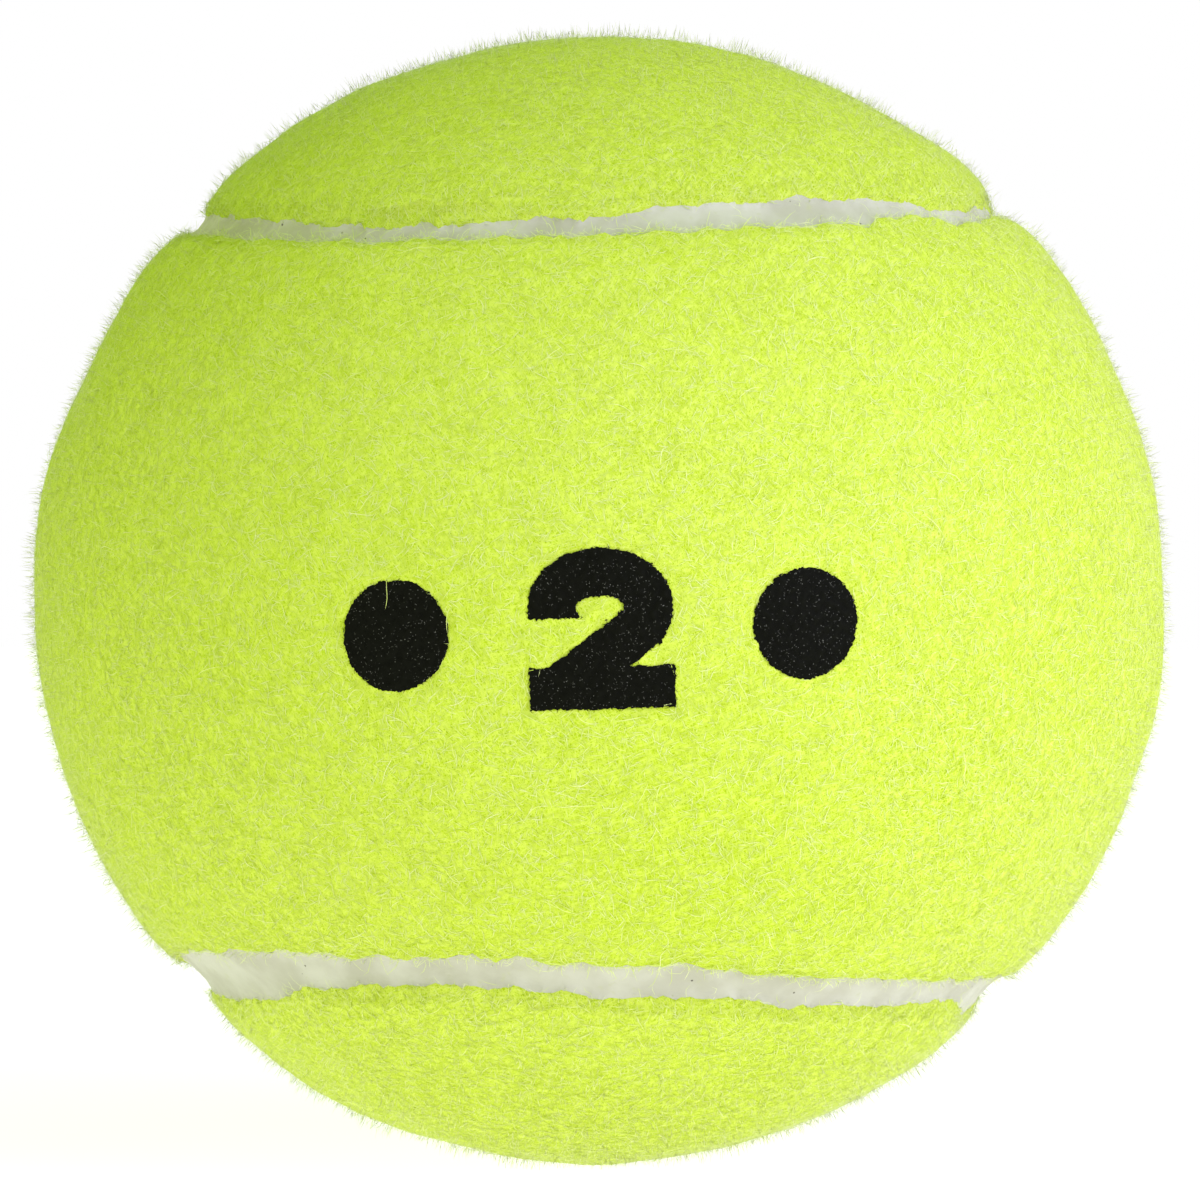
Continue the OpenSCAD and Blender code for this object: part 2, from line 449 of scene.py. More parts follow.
def seamMaterial():
    material, tree, shader = newMaterial("seam cement", Roughness=0.55, Specular_IOR_Level=0.4)
    place = inMillimetres(tree)
    clouds = ranged(tree, noise(tree, place, 0.35, 3.0), 0.3, 0.7)
    colour = mixed(tree, clouds, linear((184, 184, 157)), linear((203, 204, 179)))
    streaks = ranged(tree, noise(tree, place, 1.7, 2.0, 0.5), 0.62, 0.75)
    colour = mixed(tree, maths(tree, "MULTIPLY", streaks, 0.35), colour, linear((186, 192, 130)))
    specks = add(tree, "TexVoronoi", {"Vector": place, "Scale": 1.1}).outputs["Distance"]
    rare = ranged(tree, noise(tree, place, 0.9), 0.55, 0.6)
    speck = maths(tree, "MULTIPLY", ranged(tree, specks, 0.05, 0.09, 1.0, 0.0), rare)
    colour = mixed(tree, speck, colour, linear((92, 88, 70)))
    tree.links.new(colour, shader.inputs["Base Color"])
    height = maths(tree, "ADD", noise(tree, place, 1.2, 3.0), maths(tree, "MULTIPLY", speck, -0.6))
    bumped(tree, shader, height, 0.05, 0.5)
    return material


def inkMaterial():
    material, tree, shader = newMaterial("print ink", Roughness=0.6, Specular_IOR_Level=0.05)
    place = inMillimetres(tree)
    colour = mixed(tree, noise(tree, place, 2.5, 3.0), linear((9, 10, 3)), linear((18, 19, 11)))
    # painted glints: sparse pale grey dots on the ink stand in for light caught by shiny fibres
    paintedGlintCells = add(tree, "TexVoronoi", {"Vector": place, "Scale": 6.5}).outputs["Distance"]
    rare = ranged(tree, noise(tree, place, 2.4), 0.42, 0.62)
    paintedGlintDots = maths(tree, "MULTIPLY", ranged(tree, paintedGlintCells, 0.12, 0.22, 1.0, 0.0), rare)
    colour = mixed(tree, paintedGlintDots, colour, linear((112, 113, 102)))
    tree.links.new(colour, shader.inputs["Base Color"])
    bumped(tree, shader, noise(tree, place, 6.0, 2.0), 0.05, 0.6)
    return material


def rubberMaterial(name, dark, light, roughness, grain):
    material, tree, shader = newMaterial(name, Roughness=roughness, Specular_IOR_Level=0.4)
    place = inMillimetres(tree)
    colour = mixed(tree, noise(tree, place, 0.25, 4.0), linear(dark), linear(light))
    tree.links.new(colour, shader.inputs["Base Color"])
    bumped(tree, shader, noise(tree, place, grain, 4.0), 0.08, 0.5)
    return material


feltCloth = feltMaterial()
napStrand = strandMaterial(
    "nap strand", (194, 222, 16), (240, 249, 174), Roughness=0.55, Specular_IOR_Level=0.06,
    Sheen_Weight=0.25, Sheen_Roughness=0.25, Sheen_Tint=linear((243, 251, 205)),
)
# the wisps' colours are the felt's yellow paled as painted highlight, for loose fibres catching the
# light
wispWithPaintedHighlight = strandMaterial(
    "pale wisp", (222, 238, 114), (246, 251, 188), Roughness=0.45, Specular_IOR_Level=0.3,
    Sheen_Weight=0.15, Sheen_Roughness=0.3,
)
# the inked strands' light colour is a painted glint, given to a few of them
inkStrand = strandMaterial(
    "inked strand", (9, 10, 3), (104, 105, 92), Roughness=0.5, Specular_IOR_Level=0.04
)
print("materials made")


def makePiece(name, points, faceSets, material, strandMap=None, normals=None):
    # points in mm; faceSets are arrays with one row of corners for each face
    mesh = bpy.data.meshes.new(name)
    corners = np.concatenate([faces.ravel() for faces in faceSets]).astype(np.int32)
    sizes = np.concatenate([np.full(len(faces), faces.shape[1]) for faces in faceSets])
    mesh.vertices.add(len(points))
    mesh.vertices.foreach_set("co", (points * mm).astype(np.float32).ravel())
    mesh.loops.add(len(corners))
    mesh.loops.foreach_set("vertex_index", corners)
    mesh.polygons.add(len(sizes))
    mesh.polygons.foreach_set("loop_start", (np.cumsum(sizes) - sizes).astype(np.int32))
    mesh.polygons.foreach_set("use_smooth", np.ones(len(sizes), bool))
    mesh.update(calc_edges=True)
    if strandMap is not None:
        layer = mesh.uv_layers.new(name="OFBake")
        layer.uv.foreach_set("vector", strandMap.astype(np.float32).ravel())
    if normals is not None:
        mesh.normals_split_custom_set_from_vertices(normals.astype(np.float32))
    mesh.materials.append(material)
    piece = bpy.data.objects.new(name, mesh)
    bpy.context.scene.collection.objects.link(piece)
    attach(piece, "root")
    print(f"{name}: {(sizes - 2).sum()} triangles")
    return piece


def gridFaces(index):
    # quads between neighbouring rows and columns of an array of point numbers
    return np.stack([index[:-1, :-1], index[:-1, 1:], index[1:, 1:], index[1:, :-1]], -1).reshape(-1, 4)


def closedRound(index):
    return np.concatenate([index, index[:, :1]], 1)


def tidied(faces):
    # splits quads with a doubled corner off as triangles
    doubled = [faces[:, i] == faces[:, (i + 1) % 4] for i in range(4)]
    plain = ~np.any(doubled, axis=0)
    sets = [faces[plain]]
    for i, bad in enumerate(doubled):
        kept = [k for k in range(4) if k != i]
        sets.append(faces[bad][:, kept])
    return [s for s in sets if len(s)]


panel = {
    "arcSteps": 200,
    "liningRows": 5,
    "rollRows": 8,
    "outerRows": 37,
    "crowding": 1.15,  # the outer rows' places are this power of even shares, closer at the edge
    "lean": 0.85,  # how far the shading turns to straight out
    "clearance": 0.1,  # how far beyond the print the felt keeps pressed, and under it lies deeper
    "underPrint": 0.08,
}


def leanOutwards(piece):
    # Turns the nap's shading most of the way to straight out from the ball, because its fibres
    # pass light on, so that a rolled edge is about as bright as the nap beside it
    mesh = piece.data
    own = np.empty((len(mesh.vertices), 3), np.float32)
    place = np.empty_like(own)
    mesh.vertex_normals.foreach_get("vector", own.ravel())
    mesh.vertices.foreach_get("co", place.ravel())
    out = place / np.linalg.norm(place, axis=1)[:, None]
    share = panel["lean"] * smoothStep(-0.4, 0.2, (own * out).sum(1))[:, None]
    leant = own * (1 - share) + out * share
    leant /= np.linalg.norm(leant, axis=1)[:, None]
    mesh.normals_split_custom_set_from_vertices(leant.astype(np.float32))


def feltPanel(name, back):
    # The CAD panel's own section, swept round the loop: out along the lining from the middle line
    # to the cut edge, up over the roll and back over the nap to the middle line.
    steps = panel["arcSteps"]
    place = np.arange(4 * steps) / steps
    spoke = spokes(place)
    if back:  # its own loop, found on the front panel's
        centreLine = swapPanels(alongSpokes(spoke, 0.0))
        edge = -seamEdges(fromSeam(centreLine)[0])[1]
    else:
        edge = seamEdges(place)[0]
    cut = edge / radius
    rollTurn = math.asin(rollRadius / (radius - rollRadius))
    rows = [(cut, 1 - i / panel["liningRows"], liningRadius) for i in range(panel["liningRows"] + 1)]
    for i in range(panel["rollRows"] + 1):
        angle = (pi - rollTurn) + (pi / 2 - pi + rollTurn) * i / panel["rollRows"]
        x, y = rollRadius * math.cos(angle), radius - rollRadius + rollRadius * math.sin(angle)
        rows.append((cut + rollTurn + math.atan2(x, y), 0.0, math.hypot(x, y) - nap["sag"]))
    for i in range(1, panel["outerRows"] + 1):
        rows.append((cut + rollTurn, (i / panel["outerRows"]) ** panel["crowding"], None))
    points = []
    for past, share, level in rows:
        ways = alongSpokes(spoke, past, share)
        world = swapPanels(ways) if back else ways
        if level is None:  # on the nap, so its level follows from how far the edge is
            start = endRadius + spoke[2] * past
            margin = rollRadius + np.abs(spoke[3] - start) * share * radius
            toMarks = nearMarks(world)
            level = napRadius(world, margin, toMarks - panel["clearance"])
            level = level - panel["underPrint"] * (toMarks < 2 * panel["clearance"])
        points.append(world * np.reshape(level, (-1, 1)))
    # the first and the last row keep one point for each place on the panel's middle line
    last = len(rows) - 1
    middle = np.concatenate([
        np.arange(steps), np.full(steps, steps), steps - np.arange(steps), np.zeros(steps, int)
    ])
    index = np.empty((len(rows), 4 * steps), int)
    index[0] = middle
    index[1:last] = steps + 1 + np.arange((last - 1) * 4 * steps).reshape(last - 1, -1)
    index[last] = steps + 1 + (last - 1) * 4 * steps + middle
    points[0], points[last] = points[0][: steps + 1], points[last][: steps + 1]
    faces = [part[:, ::-1] for part in tidied(gridFaces(closedRound(index)))]
    piece = makePiece(name, np.concatenate(points), faces, feltCloth)
    leanOutwards(piece)
    return piece


feltFront = feltPanel("felt_front", False)
feltBack = feltPanel("felt_back", True)
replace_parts(feltFront, "felt_panel_front")
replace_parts(feltBack, "felt_panel_back")


strip = {
    "steps": 1300,
    "across": 12,
    "under": 0.14,  # how far it reaches under the felt's edges
    "climb": 0.12,  # how far it is drawn up at them
    "unevenness": [(1.6, 0.016, 31), (0.6, 0.012, 32)],  # wavelength, depth, seed
}


def seamStrip():
    # A ribbon round the loop between the two cut edges, sunk a little in the middle and drawn up
    # the felt at its edges, with its foot on the coat of cement
    place = np.arange(strip["steps"]) * 4 / strip["steps"]
    spoke = spokes(place)
    front, rear = seamEdges(place)
    front, rear = front + strip["under"], rear - strip["under"]
    rows = [(rear, liningRadius)]
    # a narrow row at each side keeps the sharp edge out of the top's shading
    shares = np.linspace(0, 1, strip["across"])
    for share in [0, 0.01, *shares[1:-1], 0.99, 1]:
        past = rear + (front - rear) * share
        across = 2 * share - 1
        ways = alongSpokes(spoke, past / radius)
        level = seamRadius - ball["seamSink"] * (1 - across**2) + strip["climb"] * across**4
        for wavelength, depth, seed in strip["unevenness"]:
            level = level + depth * ripple(ways * radius, wavelength, seed)
        rows.append((past, level))
    rows.append((front, liningRadius))
    points = [alongSpokes(spoke, past / radius) * np.reshape(level, (-1, 1)) for past, level in rows]
    index = np.arange(len(rows) * len(place)).reshape(len(rows), -1)
    faces = gridFaces(closedRound(np.concatenate([index, index[:1]])))
    return makePiece("seam_line", np.concatenate(points), [faces[:, ::-1]], seamMaterial())


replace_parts(seamStrip(), "seam_cement")


inkSkin = {
    "step": 0.085,
    "above": 0.05,  # the skin's top and underside, from the pressed nap
    "below": 0.12,
    "unevenness": 0.02,
    "nudge": 0.02,  # the step over which the outline's slope is taken
}


def printedSkin():
    # Square cells of a flat grid whose middles lie in the marks, their outer corners drawn onto
    # the outline along the distance's slope, laid on the nap as a thin closed skin
    step = inkSkin["step"]
    columns = np.arange(-15.5, 15.5, step)
    lines = np.arange(-5.5, 5.5, step)
    corner = np.stack(np.meshgrid(columns, lines), -1)
    inside = markDistance(corner[:-1, :-1] + step / 2) < 0
    for _ in range(3):  # fills the fourth cell where two touch at a corner only
        a, b, c, d = inside[:-1, :-1], inside[:-1, 1:], inside[1:, :-1], inside[1:, 1:]
        pinched = (a & d & ~b & ~c) | (b & c & ~a & ~d)
        inside[:-1, :-1] |= pinched
        inside[:-1, 1:] |= pinched
        inside[1:, :-1] |= pinched
    number = np.arange(corner.shape[0] * corner.shape[1]).reshape(corner.shape[:2])
    quads = np.stack([number[:-1, :-1], number[:-1, 1:], number[1:, 1:], number[1:, :-1]], -1)[inside]
    edges = np.stack([quads, np.roll(quads, -1, 1)], -1).reshape(-1, 2)
    key = edges[:, 0] * number.size + edges[:, 1]
    # the rim is the edges with a cell on one side only
    rim = edges[~np.isin(key, edges[:, 1] * number.size + edges[:, 0])]
    flat = corner.reshape(-1, 2).copy()
    outer = np.unique(rim)
    nudge = inkSkin["nudge"]
    for _ in range(3):
        here = flat[outer]
        away = markDistance(here)
        slope = np.stack([markDistance(here + [nudge, 0]), markDistance(here + [0, nudge])], -1)
        slope = (slope - away[:, None]) / nudge
        move = away[:, None] * slope / np.maximum((slope**2).sum(1), 0.3)[:, None]
        flat[outer] = here - np.clip(move, -0.4 * step, 0.4 * step)
    used, quads = np.unique(quads, return_inverse=True)
    quads = quads.reshape(-1, 4)
    rim = np.searchsorted(used, rim)
    flat = flat[used]
    ways = fromMarkPlane(flat)
    level = napRadius(ways, farOff, markDistance(flat))
    level += inkSkin["unevenness"] * ripple(ways * radius, 0.5, 41)
    count = len(used)
    points = np.concatenate([
        ways * (level + inkSkin["above"])[:, None], ways * (level - inkSkin["below"])[:, None]
    ])
    walls = np.stack([rim[:, 1], rim[:, 0], rim[:, 0] + count, rim[:, 1] + count], -1)
    faces = [quads, (quads + count)[:, ::-1], walls]
    return makePiece("print_ink", points, faces, inkMaterial())


printInk = printedSkin()


strand = {
    "ridge": 0.24,  # height of a strand's ridge over its edges, as a share of its width
    "round": 0.2,  # how far its shading follows its own roundness
}


def strandFrames(paths):
    # For each point of each path: the direction along it, outwards from the ball, and across both
    along = np.gradient(paths, axis=1)
    along /= np.linalg.norm(along, axis=2)[..., None] + 1e-12
    out = paths / np.linalg.norm(paths, axis=2)[..., None]
    across = np.cross(along, out)
    across /= np.linalg.norm(across, axis=2)[..., None] + 1e-12
    return across, np.cross(across, along)


def makeStrands(name, paths, width, shade, material, slot):
    # A straight strand has four corners: its root and tip are the ends of its ridge, and its two
    # edges stand out at its middle. A curved one has a ring of ridge and two edges round each inner
    # point of its path, wider towards the middle. The shading leans outwards from the ball, because
    # a fibre passes light on and so is about as bright as the nap that it lies in.
    count, steps = paths.shape[:2]
    outwards = paths / np.linalg.norm(paths, axis=2)[..., None]
    across, out = strandFrames(paths)
    spread = 0.0015  # the map's width: shade across, and the share from root to tip upwards
    tone = (0.02 + 0.96 * shade)[:, None, None]
    if steps == 2:
        middle = paths.mean(1) - out[:, 0] * (strand["ridge"] * width)[:, None]
        half = across[:, 0] * (width / 2)[:, None]
        points = np.stack([paths[:, 0], middle + half, middle - half, paths[:, 1]], 1)
        lean = outwards[:, [0, 0, 0, 1]]
        lean[:, 1] += strand["round"] * across[:, 0]
        lean[:, 2] -= strand["round"] * across[:, 0]
        faces = np.array([[1, 3, 0], [2, 0, 3], [2, 3, 1], [0, 2, 1]])
        corner = np.array([[0.0, 0.0], [-spread, 0.5], [spread, 0.5], [0.0, 1.0]])
        faceSets, cornerSets = [faces], [corner[faces]]
    else:
        rings = steps - 2
        share = np.linspace(0, 1, steps)[1:-1]
        size = (width[:, None] * (0.7 + 0.3 * np.sin(pi * share)))[..., None]
        ring, leans = [], []
        for sideways, upwards in ((0, strand["ridge"]), (-0.5, 0), (0.5, 0)):
            ring.append(paths[:, 1:-1] + size * (sideways * across[:, 1:-1] + upwards * out[:, 1:-1]))
            leans.append(outwards[:, 1:-1] + 2 * sideways * strand["round"] * across[:, 1:-1])
        ring, leans = np.stack(ring, 2), np.stack(leans, 2)  # strand, ring, corner, xyz
        points = np.concatenate([paths[:, :1], ring.reshape(count, -1, 3), paths[:, -1:]], 1)
        lean = np.concatenate([outwards[:, :1], leans.reshape(count, -1, 3), outwards[:, -1:]], 1)
        k = np.arange(3)
        after = (k + 1) % 3
        root = np.stack([np.zeros(3, int), 1 + k, 1 + after], -1)
        base = 1 + 3 * (rings - 1)
        tip = np.stack([np.full(3, 3 * rings + 1), base + after, base + k], -1)
        first = 1 + 3 * np.arange(rings - 1)[:, None]
        tube = np.stack([first + k, first + 3 + k, first + 3 + after, first + after], -1).reshape(-1, 4)
        low, high = np.repeat(share[:-1], 3), np.repeat(share[1:], 3)
        faceSets = [root, tip, tube]
        cornerSets = [
            np.array([[[0, 0], [-spread, share[0]], [spread, share[0]]]] * 3),
            np.array([[[0, 1], [spread, share[-1]], [-spread, share[-1]]]] * 3),
            np.stack([
                np.tile([-spread, -spread, spread, spread], (len(low), 1)),
                np.stack([low, high, high, low], 1),
            ], -1),
        ]
    lean /= np.linalg.norm(lean, axis=2)[..., None]
    maps = []
    for part in cornerSets:
        laid = np.broadcast_to(part[None], (count,) + part.shape).copy()
        laid[..., 0] += tone
        maps.append(laid.reshape(-1, 2))
    offset = np.arange(count)[:, None, None] * points.shape[1]
    faceSets = [(faces[None] + offset).reshape(-1, faces.shape[1]) for faces in faceSets]
    piece = makePiece(
        name, points.reshape(-1, 3), faceSets, material, np.concatenate(maps), lean.reshape(-1, 3)
    )
    piece.visible_shadow = False  # a fibre lets the light through to those below
    return piece


def crossAxes(ways):
    # two directions along the surface at each point
    helper = np.where(np.abs(ways[:, 2:]) < 0.8, [[0.0, 0.0, 1.0]], [[1.0, 0.0, 0.0]])
    first = np.cross(helper, ways)
    first /= np.linalg.norm(first, axis=1)[:, None]
    return first, np.cross(ways, first)


def curl(ways, heading, length, bend, wave, steps, rng):
    # Walks along the surface from each root. The heading turns by bend over the strand and swings
    # by wave on top, and the way is the sum of the short steps.
    share = np.linspace(0, 1, steps)
    waves, start = rng.uniform(0.6, 1.6, len(ways)), rng.uniform(0, 1, len(ways))
    swing = np.sin(2 * pi * (share[None] * waves[:, None] + start[:, None]))
    turn = heading[:, None] + bend[:, None] * share + wave[:, None] * swing
    stride = (length / (steps - 1))[:, None]
    x = np.cumsum(np.cos(turn) * stride, 1) - np.cos(turn[:, :1]) * stride
    y = np.cumsum(np.sin(turn) * stride, 1) - np.sin(turn[:, :1]) * stride
    first, second = crossAxes(ways)
    walked = ways[:, None] + (x[..., None] * first[:, None] + y[..., None] * second[:, None]) / radius
    return walked / np.linalg.norm(walked, axis=2)[..., None]


def allMargins(ways):
    # the distance from the nearest cut edge, and whether that is the front panel
    place, signed = fromSeam(ways)
    front, rear = seamEdges(place)
    onFront = signed > (front + rear) / 2
    return np.where(onFront, signed - front, rear - signed), onFront


napStrands = {
    # How many roots are tried over the whole ball, length, width and height over the nap in mm, how
    # far the heading turns and swings in radians, and the points of each path
    "down": {
        "count": 292000, "length": (0.5, 1.0), "width": (0.034, 0.052), "rise": (0.01, 0.08),
        "bend": 0.0, "wave": 0.0, "steps": 2,
    },
    "short": {
        "count": 17000, "length": (0.7, 1.4), "width": (0.034, 0.046), "rise": (0.04, 0.2),
        "bend": 0.8, "wave": 0.25, "steps": 4,
    },
    "mid": {
        "count": 6000, "length": (1.0, 2.0), "width": (0.032, 0.044), "rise": (0.06, 0.32),
        "bend": 1.2, "wave": 0.35, "steps": 5,
    },
    "wisps": {
        "count": 2600, "length": (0.8, 2.1), "width": (0.026, 0.036), "rise": (0.12, 0.5),
        "bend": 1.4, "wave": 0.4, "steps": 7,
    },
}
# The share of the straight strands that stand up, their length along the surface and their width
# as shares of the others', and their height and shade. Their paler shade is painted light: the
# light that passes through them along the ball's outline and catches their tips.
standing = {"share": 0.28, "length": 0.45, "rise": (0.06, 0.52), "shade": (0.5, 1.0), "width": 0.6}
growth = {
    "stray": 0.45,  # how far roots stray from their spiral, in spacings
    "flow": (1.6, 16),  # how far the common heading swings, in radians, and over what wavelength
    "scatter": 1.6,  # how far single headings stray from it
    "overhang": (-0.3, 0.2),  # how near the cut edge a strand must stay: less than 0 hangs over it
    "rootMargin": 0.04,
    "overPrint": (0.02, 0.1),  # the shares of other strands and of wisps that may lie over the print
    "tufts": (0.3, 3.2, 0.6, 1.5),  # how much heights vary in tufts, wavelength, least and most
    "pale": (0.27, (0.5, 0.85), (0, 0.3)),  # share of pale strands, their shade and the others'
}


def growNap(kind, seed):
    # Roots spread evenly over the ball along a spiral of golden turns, each moved a little at
    # random. Strands that would cross the seam or the print are left out.
    recipe = napStrands[kind]
    rng = np.random.default_rng(seed)
    drawn = recipe["count"]
    height = 1 - (2 * np.arange(drawn) + 1) / drawn
    turned = np.arange(drawn) * pi * (3 - math.sqrt(5)) + seed
    flat = np.sqrt(1 - height**2)
    ways = np.stack([flat * np.cos(turned), flat * np.sin(turned), height], 1)
    ways += rng.normal(0, growth["stray"] * math.sqrt(4 * pi / drawn), (drawn, 3))
    ways /= np.linalg.norm(ways, axis=1)[:, None]
    swing, wavelength = growth["flow"]
    heading = swing * ripple(ways * radius, wavelength, 51) + rng.normal(0, growth["scatter"], drawn)
    heading += pi * rng.integers(0, 2, drawn)
    length = rng.uniform(*recipe["length"], drawn)
    up = (rng.uniform(0, 1, drawn) < standing["share"]) & (recipe["steps"] == 2)
    length *= np.where(up, standing["length"], 1)
    bend = rng.normal(0, recipe["bend"], drawn)
    wave = rng.uniform(0, recipe["wave"], drawn)
    steps = recipe["steps"]
    walked = curl(ways, heading, length, bend, wave, steps, rng)
    flatWays = walked.reshape(-1, 3)
    margin, onFront = allMargins(flatWays)
    toMarks = nearMarks(flatWays).reshape(drawn, steps)
    over = rng.uniform(0, 1, drawn) < growth["overPrint"][kind == "wisps"]
    # the root lies on the nap, and the tip may hang a little over the cement
    least = rng.uniform(*growth["overhang"], drawn)[:, None]
    margins = margin.reshape(drawn, steps)
    inside = (margins > least).all(1) & (margins[:, 0] > growth["rootMargin"])
    over |= (toMarks > rng.uniform(-0.12, 0.05, drawn)[:, None]).all(1)
    clear = (toMarks > 0.02).all(1) | (over & (toMarks[:, 0] > 0))
    chosen = np.flatnonzero(inside & clear)
    share = np.linspace(0, 1, steps)
    stand = rng.uniform(0, 1, drawn)[:, None] ** 2 if steps > 2 else 1.0
    swing, wavelength, lowest, highest = growth["tufts"]
    tuft = np.clip(1 + swing * ripple(ways * radius, wavelength, 52)[:, None], lowest, highest)
    paleShare, paleShades, otherShades = growth["pale"]
    pale = rng.uniform(0, 1, drawn) < paleShare
    shade = np.where(pale, rng.uniform(*paleShades, drawn), rng.uniform(*otherShades, drawn))
    low, high = recipe["rise"]
    # the pale straight ones lie over the others
    rise = low + (high - low) * (shade if steps == 2 else rng.uniform(0, 1, drawn))
    rise = np.where(up, rng.uniform(*standing["rise"], drawn), rise)[:, None] * tuft
    # painted light: the standing strands are made paler than the lying ones
    shade = np.where(up, rng.uniform(*standing["shade"], drawn), shade)
    lift = rise * ((1 - stand) * np.sin(pi * share) + 1.5 * stand * share**1.3)
    lift += 0.01 if steps == 2 else -0.03
    level = napRadius(flatWays, margin, toMarks.ravel()).reshape(drawn, steps) + lift
    level = np.where(margins < 0.2, np.maximum(level, seamRadius + 0.1), level)
    paths = (walked * level[..., None])[chosen]
    width = rng.uniform(*recipe["width"], drawn) * np.where(up, standing["width"], 1.08 - 0.25 * shade)
    return paths, width[chosen], shade[chosen], onFront.reshape(drawn, steps)[chosen, 0]


napPieces = {True: [], False: []}


def plantNap(kind, seed, parts, material):
    paths, width, shade, onFront = growNap(kind, seed)
    for front, side in ((True, "front"), (False, "back")):
        own = np.flatnonzero(onFront == front)
        for number, part in enumerate(np.array_split(own, parts), 1):
            name = f"nap_{side}_{kind}" + (f"_{number}" if parts > 1 else "")
            piece = makeStrands(name, paths[part], width[part], shade[part], material, "felt")
            napPieces[front].append(piece)


plantNap("down", 60, 3, napStrand)
plantNap("short", 61, 1, napStrand)
plantNap("mid", 62, 1, napStrand)
plantNap("wisps", 63, 1, wispWithPaintedHighlight)

fringe = {
    "count": 9600,
    "length": (0.18, 0.5),
    "longer": (0.6, 1.6),
    "shortShare": 0.82,
    "width": (0.018, 0.028),
    "steps": 4,
    "inward": (0.05, 0.9),  # how far from the cut edge the roots lie
    "scatter": 1.1,  # how far headings stray from straight across the seam, in radians
    "bend": 1.5,
    "wave": 0.6,
    "above": (0.05, 0.7),  # how far above the cement the tips end
    "bow": 0.14,
}


def growFringe(seed):
    # Strands that root in the rolled edges and hang over the cement: each heads across the seam,
    # and comes down from the nap towards the cement with the 1.6th power of the way along it.
    rng = np.random.default_rng(seed)
    drawn = fringe["count"]
    place = rng.uniform(0, 4, drawn)
    front, rear = seamEdges(place)
    onFront = rng.integers(0, 2, drawn) == 1
    inward = rng.uniform(*fringe["inward"], drawn) ** 1.5
    past = np.where(onFront, front + inward, rear - inward)
    spoke = spokes(place)
    ways = alongSpokes(spoke, past / radius)
    towards = alongSpokes(spoke, (past + np.where(onFront, -0.5, 0.5)) / radius) - ways
    first, second = crossAxes(ways)
    heading = np.arctan2((towards * second).sum(1), (towards * first).sum(1))
    heading += rng.normal(0, fringe["scatter"], drawn)
    short = rng.uniform(0, 1, drawn) < fringe["shortShare"]
    shorter, longer = rng.uniform(*fringe["length"], drawn), rng.uniform(*fringe["longer"], drawn)
    length = np.where(short, shorter, longer)
    steps = fringe["steps"]
    bend, wave = rng.normal(0, fringe["bend"], drawn), rng.uniform(0, fringe["wave"], drawn)
    walked = curl(ways, heading, length, bend, wave, steps, rng)
    rootLevel = napRadius(ways, inward, farOff) - 0.03
    endLevel = seamRadius + rng.uniform(*fringe["above"], drawn)
    share = np.linspace(0, 1, steps)
    hang = (endLevel - rootLevel)[:, None] * share**1.6 + fringe["bow"] * np.sin(pi * share)
    level = rootLevel[:, None] + hang
    flatWays = walked.reshape(-1, 3)
    margin, _ = allMargins(flatWays)
    lowest = np.where(margin > 0, napRadius(flatWays, margin, farOff), seamRadius)
    level[:, 1:] = np.maximum(level, lowest.reshape(level.shape) + 0.03)[:, 1:]
    paths = walked * level[..., None]
    return paths, rng.uniform(*fringe["width"], drawn), rng.beta(2, 1.4, drawn), onFront


fringePaths, fringeWidth, fringeShade, fringeFront = growFringe(71)
for front, side in ((True, "front"), (False, "back")):
    own = fringeFront == front
    paths, width, shade = fringePaths[own], fringeWidth[own], fringeShade[own]
    napPieces[front].append(makeStrands(f"edge_fringe_{side}", paths, width, shade, napStrand, "felt"))

inked = {
    "count": 10500,
    "length": (0.12, 0.42),
    "width": (0.024, 0.034),
    "rise": (0.0, 0.05),
    "steps": 2,
    "paintedGlintStrands": 0.06,  # the share painted pale grey as glints, and their length as a share of the others'
    "paintedGlintLength": 0.55,
    "overEdge": 0.14,  # how far they may reach beyond the print
}


def growInked(seed):
    # Short strands soaked with ink that lie over the skin and break up its outline
    rng = np.random.default_rng(seed)
    flat = np.stack([rng.uniform(-15, 15, 60000), rng.uniform(-5, 5, 60000)], -1)
    flat = flat[markDistance(flat) < -0.02][: inked["count"]]
    drawn, steps = len(flat), inked["steps"]
    paintedGlintStrands = rng.uniform(0, 1, drawn) < inked["paintedGlintStrands"]
    heading = rng.uniform(0, 2 * pi, drawn)
    length = rng.uniform(*inked["length"], drawn) * np.where(paintedGlintStrands, inked["paintedGlintLength"], 1)
    straight = np.zeros(drawn)
    walked = curl(fromMarkPlane(flat), heading, length, straight, straight, steps, rng)
    flatWays = walked.reshape(-1, 3)
    reach = nearMarks(flatWays)
    kept = reach.reshape(drawn, steps).max(1) < inked["overEdge"]
    level = napRadius(flatWays, farOff, reach).reshape(drawn, steps)
    share = np.linspace(0, 1, steps)
    level += inkSkin["above"] + 0.012 + rng.uniform(*inked["rise"], drawn)[:, None] * share
    # painted glints: a few strands are paler grey, the rest as dark as the ink
    shade = np.where(paintedGlintStrands, rng.uniform(0.3, 1, drawn), 0)
    return (walked * level[..., None])[kept], rng.uniform(*inked["width"], drawn)[kept], shade[kept]


inkStrands = makeStrands("print_ink_strands", *growInked(81), inkStrand, "ink")
napPieces[True] += [printInk, inkStrands]
print("nap grown")


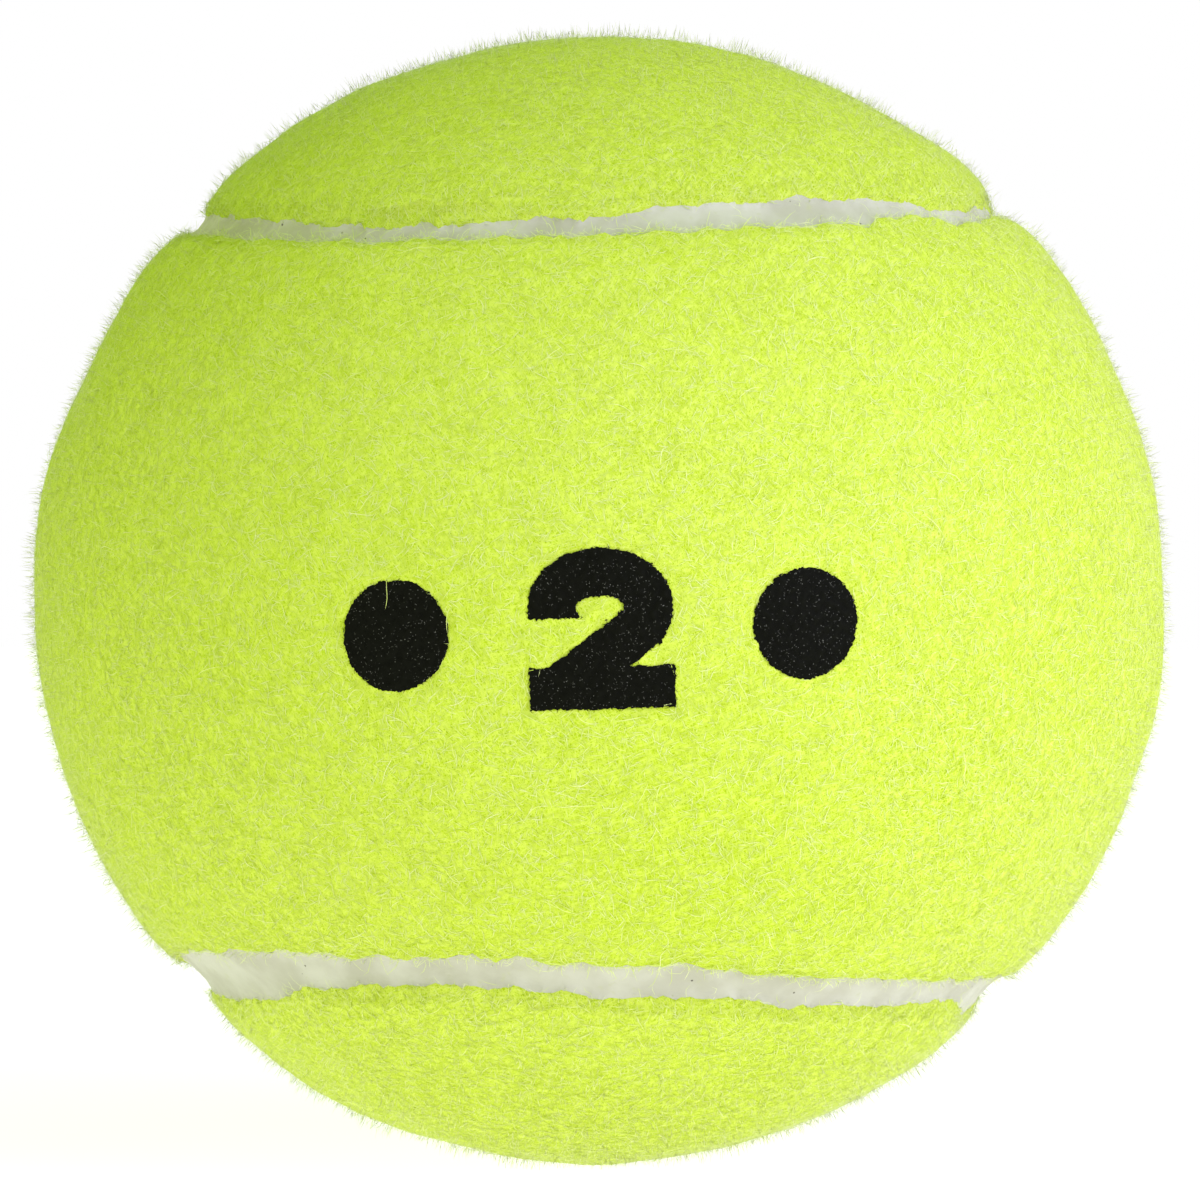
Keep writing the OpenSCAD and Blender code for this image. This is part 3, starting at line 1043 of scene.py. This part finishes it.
coreLook = {
    # name, dark colour, light colour, roughness and fineness of grain
    "core_half_upper": ("upper half rubber", (52, 50, 46), (66, 63, 58), 0.7, 1.4),
    "core_half_lower": ("lower half rubber", (60, 57, 52), (74, 70, 64), 0.72, 1.4),
    "core_joint_cement": ("joint cement", (150, 122, 82), (176, 148, 102), 0.45, 0.7),
    "core_cement_coat": ("coat cement", (176, 158, 116), (198, 182, 140), 0.5, 0.5),
}
for node, look in coreLook.items():
    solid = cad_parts[node]
    material = rubberMaterial(*look)
    for holder in solid.material_slots:
        holder.material = material
print("core dressed")


studio = {
    "ambient": (0.752, 0.855, 0.63),  # a little green, as the shade is in the photo
    "brighter": (0.29, -0.25, 0.32),  # how much more light comes from the camera's right, above and back
    "brighterTint": (1.3, 1.0, 2.6),
    # degrees round to the right of the camera, degrees up, distance in m, size in m, watts
    "lamp": (53, 18, 0.8, 0.45, 2.0),
    "lampTint": (1.06, 1.0, 1.8),
    # what the camera sees of the floor: its own light, and how much of the room's it sends back
    "floorShown": (0.78, 0.775, 0.94, 1),
    "floorTone": (0.6, 0.58, 0.45, 1),
    "floorGlow": 1.3,  # how much light it sends up to the ball
    "floorHalf": 3.0,
}


def seenDirectly(tree):
    # 1 for the camera's own rays and for those that a mirror or glass sends on
    path = add(tree, "LightPath")
    seen = maths(tree, "MAXIMUM", path.outputs["Is Camera Ray"], path.outputs["Is Glossy Ray"])
    return maths(tree, "MAXIMUM", seen, path.outputs["Is Transmission Ray"])


def addWorld():
    world = bpy.data.worlds.new("studio")
    world.use_nodes = True
    bpy.context.scene.world = world
    tree = world.node_tree
    tree.nodes.clear()
    output = tree.nodes.new("ShaderNodeOutputWorld")
    # the room's light grows evenly with the direction's part along one line
    right, up, behind = studio["brighter"]
    turn = camera["turn"]
    line = (
        right * math.cos(turn) + behind * math.sin(turn),
        right * math.sin(turn) - behind * math.cos(turn),
        up,
    )
    way = add(tree, "TexCoord").outputs["Generated"]
    part = add(tree, "VectorMath", {0: way, 1: line}, operation="DOT_PRODUCT").outputs["Value"]
    shades = {0: part, 1: studio["brighterTint"], 2: studio["ambient"]}
    tint = add(tree, "VectorMath", shades, operation="MULTIPLY_ADD")
    room = add(tree, "Background", {"Color": tint.outputs["Vector"], "Strength": 1.0})
    white = add(tree, "Background", {"Color": (1, 1, 1, 1), "Strength": 1.0})
    mix = add(tree, "MixShader", {0: seenDirectly(tree), 1: room.outputs[0], 2: white.outputs[0]})
    tree.links.new(mix.outputs[0], output.inputs["Surface"])


def addFloor():
    mesh = bpy.data.meshes.new("floor")
    half, level = studio["floorHalf"], cadBox[0][2]
    corners = [(-half, -half, level), (half, -half, level), (half, half, level), (-half, half, level)]
    mesh.from_pydata(corners, [], [(0, 1, 2, 3)])
    material = bpy.data.materials.new("white floor")
    material.use_nodes = True
    tree = material.node_tree
    tree.nodes.clear()
    output = tree.nodes.new("ShaderNodeOutputMaterial")
    paper = add(tree, "Emission", {"Color": (1, 1, 1, 1), "Strength": studio["floorGlow"]})
    shown = add(tree, "BsdfDiffuse", {"Color": studio["floorTone"]})
    glow = add(tree, "Emission", {"Color": studio["floorShown"], "Strength": 1.0})
    bright = add(tree, "AddShader", {0: shown.outputs[0], 1: glow.outputs[0]})
    mix = add(tree, "MixShader", {0: seenDirectly(tree), 1: paper.outputs[0], 2: bright.outputs[0]})
    tree.links.new(mix.outputs[0], output.inputs["Surface"])
    mesh.materials.append(material)
    floor = bpy.data.objects.new("floor", mesh)
    bpy.context.scene.collection.objects.link(floor)


def addLamp():
    turn, up, away, size, power = studio["lamp"]
    data = bpy.data.lights.new("key", "AREA")
    data.size, data.energy, data.color = size, power, studio["lampTint"]
    lamp = bpy.data.objects.new("key", data)
    turn, up = camera["turn"] + math.radians(turn), math.radians(up)
    level = away * math.cos(up)
    lamp.location = (level * math.sin(turn), -level * math.cos(turn), away * math.sin(up))
    lamp.rotation_euler = (pi / 2 - up, 0, turn)
    bpy.context.scene.collection.objects.link(lamp)


addWorld()
addFloor()
addLamp()
bpy.context.scene.view_settings.view_transform = "Standard"
print("studio lit")
